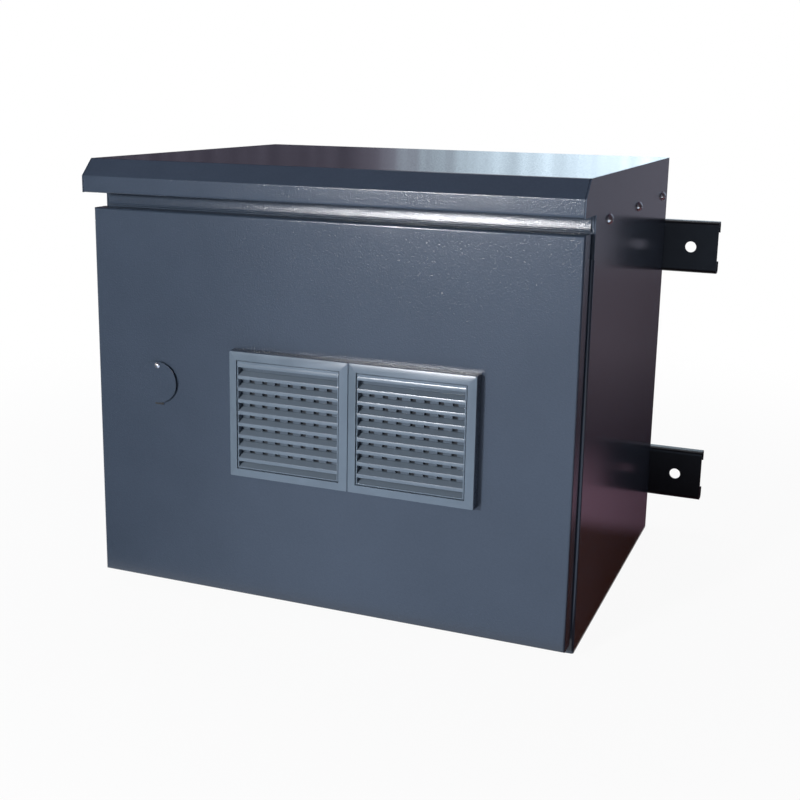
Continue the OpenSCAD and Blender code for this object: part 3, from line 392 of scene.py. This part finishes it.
rubber = epdm_rubber()
fibre = filter_fibre()
print("made:", rubber.name, fibre.name)

# %% [markdown]
# ## Finish for every solid
# The record already names a finish slot for each solid. The first table gives each slot its
# material, so no solid is forgotten. The second names the few solids whose finish differs
# from the rest of their slot.

# %% Assign finishes
FINISHES = {"powder_coat": coat, "black_paint": enamel, "vent_plastic": vent_abs,
            "zinc_steel": zinc, "seal_rubber": rubber, "fan_plastic": fan_plastic,
            "filter_fibre": fibre}
OWN_FINISH = {"body_wrap": smooth_coat, "left_louvre": louvre_abs, "right_louvre": louvre_abs,
              "hood_screws": polished, "cover_rivet": polished}
slot_of = {part["node"]: part["material_slot"] for part in frame["record"]["subparts"]}
for name, solid in nodes.items():
    solid.data.materials.clear()
    solid.data.materials.append(OWN_FINISH.get(name, FINISHES[slot_of[name]]))
print("finishes given:", len(nodes))

# %% [markdown]
# ## Sloped faces of the vent frames
# The front face of each vent frame falls outward a little, which shows as a soft light on its
# upper edge. The solids have flat faces there. Moving their points by hand would change the
# solids, so a small tree of geometry nodes does it in a modifier: it measures how far a front
# point lies outside the inner edge, and sets it back by that much times the slope.

# %% Measure the vent frames
JOINT_MM = 0.7  # from the louvre to the inner edge of its frame


def corners(name):
    box = nodes[name].bound_box
    return Vector(box[0]), Vector(box[6])


left_low, left_high = corners("left_vent_frame")
right_low, right_high = corners("right_vent_frame")
louvre_low, louvre_high = corners("left_louvre")
pair_middle = (left_low + right_high) / 2
half_spacing = Vector(((right_low.x - left_low.x) / 2, 0, 0))
inner_edge = (louvre_high.x - louvre_low.x) / 2 + JOINT_MM * MM
outer_edge = (left_high.x - left_low.x) / 2
print("vents apart in mm:", round(2 * half_spacing.x / MM, 1))

# %% Slope for the vent frames
FRAME_FALL = math.tan(math.radians(11))
FACE_DEPTH_MM = 0.5  # points nearer the front than this are on the face

slope = bpy.data.node_groups.new("face falls outward", "GeometryNodeTree")
for way in ("INPUT", "OUTPUT"):
    slope.interface.new_socket("Geometry", in_out=way, socket_type="NodeSocketGeometry")
flat = add(slope, "NodeGroupInput").outputs[0]
point = add(slope, "GeometryNodeInputPosition").outputs[0]
offset = add(slope, "ShaderNodeVectorMath", {1: pair_middle}, {0: point}, operation="SUBTRACT")
mirrored = add(slope, "ShaderNodeVectorMath", links={0: offset.outputs[0]}, operation="ABSOLUTE")
from_vent = add(slope, "ShaderNodeVectorMath", {1: half_spacing}, {0: mirrored.outputs[0]},
                operation="SUBTRACT")
reach = add(slope, "ShaderNodeVectorMath", links={0: from_vent.outputs[0]}, operation="ABSOLUTE")
sides = add(slope, "ShaderNodeSeparateXYZ", links={0: reach.outputs[0]}).outputs
farthest = add(slope, "ShaderNodeMath", links={0: sides["X"], 1: sides["Z"]}, operation="MAXIMUM")
beyond = add(slope, "ShaderNodeMath", {1: inner_edge}, {0: farthest.outputs[0]},
             operation="SUBTRACT")
drop = add(slope, "ShaderNodeMath", {1: FRAME_FALL}, {0: beyond.outputs[0]},
           operation="MULTIPLY")
back = add(slope, "ShaderNodeCombineXYZ", links={"Y": drop.outputs[0]})
depth = add(slope, "ShaderNodeSeparateXYZ", links={0: point}).outputs["Y"]
on_face = add(slope, "ShaderNodeMath", {1: left_low.y + FACE_DEPTH_MM * MM}, {0: depth},
              operation="LESS_THAN")
sloped = add(slope, "GeometryNodeSetPosition",
             links={"Geometry": flat, "Selection": on_face.outputs[0], "Offset": back.outputs[0]})
add(slope, "NodeGroupOutput", links={0: sloped.outputs[0]})
print("fall at the outer edge in mm:", round((outer_edge - inner_edge) * FRAME_FALL / MM, 2))

# %% [markdown]
# ## Broken edges
# No real edge is knife sharp: folded sheet is rounded, moulded plastic has small radii, and
# paint creeps round every corner. A bevel modifier breaks the edges without touching the
# solids. The imported meshes are split along their edges and cut into triangles, so a weld
# and a decimate modifier join them into whole flat faces first.

# %% Bevel the edges
EDGE_BREAK_MM = {"powder_coat": 0.6, "black_paint": 0.4, "vent_plastic": 0.7, "zinc_steel": 0.2,
                 "seal_rubber": 0.8, "fan_plastic": 0.4, "filter_fibre": 0.8}
WELD_MM = 0.002
FLAT_WITHIN, SHARP_FROM = math.radians(0.5), math.radians(35)
EDGE_SEGMENTS, LARGE_FACES_FIRST = 2, 100

for name, solid in nodes.items():
    weld = solid.modifiers.new("join split edges", "WELD")
    weld.merge_threshold = WELD_MM * MM
    if name.endswith("vent_frame"):
        solid.modifiers.new("sloped face", "NODES").node_group = slope
    facets = solid.modifiers.new("whole flat faces", "DECIMATE")
    facets.decimate_type = "DISSOLVE"
    facets.angle_limit = FLAT_WITHIN
    bevel = solid.modifiers.new("broken edges", "BEVEL")
    bevel.width = EDGE_BREAK_MM[slot_of[name]] * MM
    bevel.segments = EDGE_SEGMENTS
    bevel.limit_method = "ANGLE"
    bevel.angle_limit = SHARP_FROM
    solid.data.shade_smooth()
    flats = solid.modifiers.new("flat faces stay flat", "WEIGHTED_NORMAL")
    flats.weight = LARGE_FACES_FIRST
print("edges broken on", len(nodes), "solids")

# %% [markdown]
# ## Floor
# The background is plain white, and the cabinet throws a soft shadow. A white floor under
# more light would spoil the cabinet's own colours. So the floor is pale paper that also
# glows, but only where the camera or a mirror looks at it, and slightly less near the
# cabinet, where the shadow lies.

# %% Floor
def plane(name, corner, side_a, side_b):
    mesh = bpy.data.meshes.new(name)
    a, b, c = Vector(corner), Vector(side_a), Vector(side_b)
    mesh.from_pydata([a, a + b, a + b + c, a + c], [], [(0, 1, 2, 3)])
    piece = bpy.data.objects.new(name, mesh)
    scene.collection.objects.link(piece)
    return piece


def looked_at(tree):
    rays = add(tree, "ShaderNodeLightPath").outputs
    seen = add(tree, "ShaderNodeMath",
               links={0: rays["Is Camera Ray"], 1: rays["Is Glossy Ray"]}, operation="MAXIMUM")
    shown = add(tree, "ShaderNodeMath",
                links={0: seen.outputs[0], 1: rays["Is Transmission Ray"]}, operation="MAXIMUM")
    return shown.outputs[0]


WHITE = (1, 1, 1, 1)
PAPER = "#f0f0f0"
FLOOR_HALF, FLOOR_DROP_MM = 20, 0.5
PAPER_NEAR, PAPER_FAR = 0.5, 1.6
PAPER_GLOW_NEAR, PAPER_GLOW_FAR = 0.94, 1.0

floor = plane("floor", (-FLOOR_HALF, -FLOOR_HALF, -FLOOR_DROP_MM * MM),
              (2 * FLOOR_HALF, 0, 0), (0, 2 * FLOOR_HALF, 0))
paper = bpy.data.materials.new("white_paper")
paper.use_nodes = True
tree = paper.node_tree
tree.nodes.clear()
place = add(tree, "ShaderNodeTexCoord").outputs["Object"]
distance = add(tree, "ShaderNodeVectorMath", links={0: place}, operation="LENGTH")
fading = add(tree, "ShaderNodeMapRange",
             {"From Min": PAPER_NEAR, "From Max": PAPER_FAR,
              "To Min": PAPER_GLOW_NEAR, "To Max": PAPER_GLOW_FAR},
             {"Value": distance.outputs["Value"]}, interpolation_type="SMOOTHSTEP")
share = add(tree, "ShaderNodeMath", links={0: looked_at(tree), 1: fading.outputs[0]},
            operation="MULTIPLY")
matt = add(tree, "ShaderNodeBsdfDiffuse", {"Color": linear(PAPER)})
glow = add(tree, "ShaderNodeEmission", {"Color": WHITE, "Strength": 1.0})
either = add(tree, "ShaderNodeMixShader",
             links={0: share.outputs[0], 1: matt.outputs[0], 2: glow.outputs[0]})
add(tree, "ShaderNodeOutputMaterial", links={"Surface": either.outputs[0]})
floor.data.materials.append(paper)
print("floor made, metres across:", 2 * FLOOR_HALF)

# %% [markdown]
# ## World
# The world is the studio's own weak light from all sides. A picture of a sky would tint the
# coat, so it has one plain colour. To the camera and to mirrors it is white, as the paper is.
# The Standard view keeps each colour about as it is written.

# %% World
ROOM_TINT, ROOM_LIGHT = "#f4f6fa", 0.3
world = bpy.data.worlds.new("studio")
scene.world = world
world.use_nodes = True
sky = world.node_tree
sky.nodes.clear()
ambient = add(sky, "ShaderNodeBackground", {"Color": linear(ROOM_TINT), "Strength": ROOM_LIGHT})
white = add(sky, "ShaderNodeBackground", {"Color": WHITE, "Strength": 1.0})
either = add(sky, "ShaderNodeMixShader",
             links={0: looked_at(sky), 1: ambient.outputs[0], 2: white.outputs[0]})
add(sky, "ShaderNodeOutputWorld", links={"Surface": either.outputs[0]})
scene.view_settings.view_transform = "Standard"
print("world made, light:", ROOM_LIGHT)

# %% [markdown]
# ## Lamps
# The highlights lie on the hood's fold and on the door's upper right, which places the main
# light, a small window, in front, to the left and above. A lamp low behind and one overhead
# keep the back and the roof readable from other sides. Sun lamps would give hard shadows, so
# all three are area lamps.

# %% Lamps
def lamp(name, place, target, size, watts, colour):
    data = bpy.data.lights.new(name, "AREA")
    data.shape = "RECTANGLE"
    data.size, data.size_y = size
    data.energy = watts
    data.color = linear(colour)[:3]
    piece = bpy.data.objects.new(name, data)
    scene.collection.objects.link(piece)
    piece.location = place
    piece.rotation_euler = (Vector(target) - Vector(place)).to_track_quat("-Z", "Y").to_euler()


COOL, NEUTRAL = "#f4f7ff", "#fdfdff"
lamp("rear_fill", place=(-1.9, 2.1, 0.3), target=(0.0, 0.2, 0.28), size=(0.9, 0.36), watts=34,
     colour=COOL)
lamp("overhead", place=(-0.2, 0.9, 2.5), target=(-0.2, 0.9, 0.0), size=(1.2, 1.2), watts=15,
     colour=COOL)
lamp("window", place=(-0.58, -2.43, 0.82), target=(0.1, -0.2, 0.3), size=(0.26, 0.17), watts=45,
     colour=NEUTRAL)
print("lamps made:", len(bpy.data.lights))

# %% [markdown]
# ## Cards
# A satin coat mirrors the room as much as it shows the lamps. Photographers choose what is
# mirrored with dark and bright cards round the object, and so does this scene: each card is a
# plane that only shows in reflections. The ceiling and the right wall are dark, as the hood's
# slope and the right side are, and these two also hold back the world's light, as real walls
# do. The front of the room and the ground before the cabinet are bright. A window at the far
# left and one in the rear of the right wall keep the other sides from turning black.

# %% Cards round the room
LEFT, RIGHT, FRONT, BACK, CEILING = -5, 1.4, -3.2, 3.0, 2.6  # the room's bounds, in metres
CEILING_HALF, WALL_LENGTH, FRONT_WIDTH = 3, 7.2, 7
LEFT_WINDOW_WIDTH, REAR_WINDOW_Y, REAR_WINDOW_WIDTH = 2, 0.8, 2.1
GROUND_LEFT, GROUND_WIDTH, GROUND_END = -3, 4, -0.3
JUST_INSIDE, ABOVE_FLOOR = 0.01, 0.001
TO_THE_RIGHT, UPWARD, ROOM_HEIGHT = (1, 0, 0), (0, 0, 1), (0, 0, CEILING)
DAYLIGHT, DARK_CEILING, DARK_WALL = "#cfe2ff", "#3a2c40", "#4a4148"


def card(name, corner, side_a, side_b, colour, fade=None, shades=False):
    piece = plane(name, corner, side_a, side_b)
    material = bpy.data.materials.new(name)
    material.use_nodes = True
    tree = material.node_tree
    tree.nodes.clear()
    glow = add(tree, "ShaderNodeEmission", {"Color": linear(colour), "Strength": 1.0})
    add(tree, "ShaderNodeOutputMaterial", links={"Surface": glow.outputs[0]})
    place = add(tree, "ShaderNodeTexCoord").outputs["Object"]
    if fade:
        # The glow changes along a direction, from one place to another, between two strengths.
        along = add(tree, "ShaderNodeVectorMath", {1: fade["along"]}, {0: place},
                    operation="DOT_PRODUCT")
        strength = add(tree, "ShaderNodeMapRange",
                       {"From Min": fade["start"], "From Max": fade["end"],
                        "To Min": fade["low"], "To Max": fade["high"]},
                       {"Value": along.outputs["Value"]}, interpolation_type="SMOOTHSTEP")
        connect(tree, glow, {"Strength": strength.outputs[0]})
    piece.data.materials.append(material)
    piece.visible_camera = False
    piece.visible_diffuse = shades
    piece.visible_shadow = False
    piece.visible_transmission = False
    return tree, glow, place


card("dark_ceiling", (-CEILING_HALF, -CEILING_HALF, CEILING), (2 * CEILING_HALF, 0, 0),
     (0, 2 * CEILING_HALF, 0), DARK_CEILING, shades=True,
     fade=dict(along=TO_THE_RIGHT, start=-1.8, end=-0.2, low=0.7, high=1.4))
card("dark_wall", (RIGHT, FRONT, 0), (0, WALL_LENGTH, 0), ROOM_HEIGHT, DARK_WALL, shades=True)
card("bright_front", (LEFT, FRONT, 0), (FRONT_WIDTH, 0, 0), ROOM_HEIGHT, DAYLIGHT,
     fade=dict(along=TO_THE_RIGHT, start=-2.1, end=-1.0, low=0.0, high=1.6))
dimmer_above = dict(along=UPWARD, start=0.0, end=CEILING, low=0.9, high=0.5)
card("left_window", (LEFT, FRONT + JUST_INSIDE, 0), (LEFT_WINDOW_WIDTH, 0, 0), ROOM_HEIGHT,
     DAYLIGHT, fade=dimmer_above)
card("rear_window", (RIGHT - JUST_INSIDE, REAR_WINDOW_Y, 0), (0, REAR_WINDOW_WIDTH, 0),
     ROOM_HEIGHT, DAYLIGHT, fade=dimmer_above)
card("pale_ground", (GROUND_LEFT, FRONT, ABOVE_FLOOR), (GROUND_WIDTH, 0, 0),
     (0, GROUND_END - FRONT, 0), DAYLIGHT,
     fade=dict(along=(1, -0.47, 0), start=-0.25, end=0.15, low=0.2, high=1.5))

# %% [markdown]
# ## The floor that the side mirrors
# The smooth right side mirrors the floor beside the cabinet: a brown board, a mauve strip, a
# dark rug and then grey floor. The bands could be separate cards, but their soft borders come
# more easily from one card with a colour ramp along its length. It darkens close to the
# cabinet, where less light reaches the floor.

# %% Banded floor card
FLOOR_NEAR, FLOOR_FAR, FLOOR_WIDTH, SIDE_GAP_MM = GROUND_END, BACK, 1.1, 0.5
BROWN_BOARD, MAUVE_STRIP, DARK_RUG, GREY_FLOOR = "#48281c", "#8d6a7c", "#463840", "#70646e"
# How far back each band lies, in metres.
FLOOR_BANDS = ((0.17, BROWN_BOARD), (0.23, MAUVE_STRIP), (0.35, MAUVE_STRIP), (0.63, DARK_RUG),
               (1.45, GREY_FLOOR), (2.99, GREY_FLOOR))
floor_length = FLOOR_FAR - FLOOR_NEAR
beside = corners("body_wrap")[1].x + SIDE_GAP_MM * MM
tree, glow, place = card(
    "dark_floor", (beside, FLOOR_NEAR, ABOVE_FLOOR), (FLOOR_WIDTH, 0, 0), (0, floor_length, 0),
    BROWN_BOARD, fade=dict(along=(1, -0.17, 0), start=0.26, end=0.39, low=0.48, high=1.1))
depth = add(tree, "ShaderNodeSeparateXYZ", links={0: place}).outputs["Y"]
along = add(tree, "ShaderNodeMapRange", {"From Min": FLOOR_NEAR, "From Max": FLOOR_FAR},
            {"Value": depth})
bands = add(tree, "ShaderNodeValToRGB", links={0: along.outputs[0]})
stops = bands.color_ramp.elements
for y, colour in FLOOR_BANDS:
    stops.new((y - FLOOR_NEAR) / floor_length).color = linear(colour)
stops.remove(stops[0])
connect(tree, glow, {"Color": bands.outputs["Color"]})
print("floor bands:", len(FLOOR_BANDS))

# %% [markdown]
# ## The windows that the roof mirrors
# The flat roof mirrors a wall of windows behind the cabinet. It is dim at the left, with a
# mauve dusk, grows bright and cool towards the right, and is streaked by what stands before
# the windows. Beyond the cabinet's middle the wall ends in shade. A noise in one direction
# makes the streaks upright, and the wall's brightness also picks its colour.

# %% Window wall
WINDOWS_HALF = 4
DUSK, DAY, DAY_SHARE = "#d0b6d2", "#dcf0ff", 1.3
DIM_X, BRIGHT_X, DIM, BRIGHT = -1.35, -0.3, 0.13, 2.2
SHADE_STARTS_X, SHADE_FULL_X, SHADE = -0.1, 0.4, 0.15
STREAK_MM, STREAK_DARK, STREAK_LIGHT = 62.5, 0.75, 1.25
NOISE_LOW, NOISE_HIGH = 0.35, 0.65

tree, glow, place = card("window_wall", (-WINDOWS_HALF, BACK, 0), (2 * WINDOWS_HALF, 0, 0),
                         ROOM_HEIGHT, DAY)
across = add(tree, "ShaderNodeSeparateXYZ", links={0: place}).outputs["X"]
daylight = add(tree, "ShaderNodeMapRange",
               {"From Min": DIM_X, "From Max": BRIGHT_X, "To Min": DIM, "To Max": BRIGHT},
               {"Value": across})
upright = add(tree, "ShaderNodeTexNoise", {"Scale": per_metre(STREAK_MM), "Detail": 2.0},
              {"W": across}, noise_dimensions="1D")
streaks = add(tree, "ShaderNodeMapRange",
              {"From Min": NOISE_LOW, "From Max": NOISE_HIGH,
               "To Min": STREAK_DARK, "To Max": STREAK_LIGHT},
              {"Value": upright.outputs["Fac"]})
shade = add(tree, "ShaderNodeMapRange",
            {"From Min": SHADE_STARTS_X, "From Max": SHADE_FULL_X, "To Min": 1.0, "To Max": SHADE},
            {"Value": across}, interpolation_type="SMOOTHSTEP")
lit = add(tree, "ShaderNodeMath", links={0: daylight.outputs[0], 1: streaks.outputs[0]},
          operation="MULTIPLY")
lit_wall = add(tree, "ShaderNodeMath", links={0: lit.outputs[0], 1: shade.outputs[0]},
               operation="MULTIPLY")
day_part = add(tree, "ShaderNodeMath", {1: DAY_SHARE}, {0: lit_wall.outputs[0]},
               operation="MULTIPLY")
sky_tint = add(tree, "ShaderNodeMix", {"A": linear(DUSK), "B": linear(DAY)},
               {"Factor": day_part.outputs[0]}, data_type="RGBA")
connect(tree, glow, {"Color": sky_tint.outputs["Result"], "Strength": lit_wall.outputs[0]})
print("window wall made")
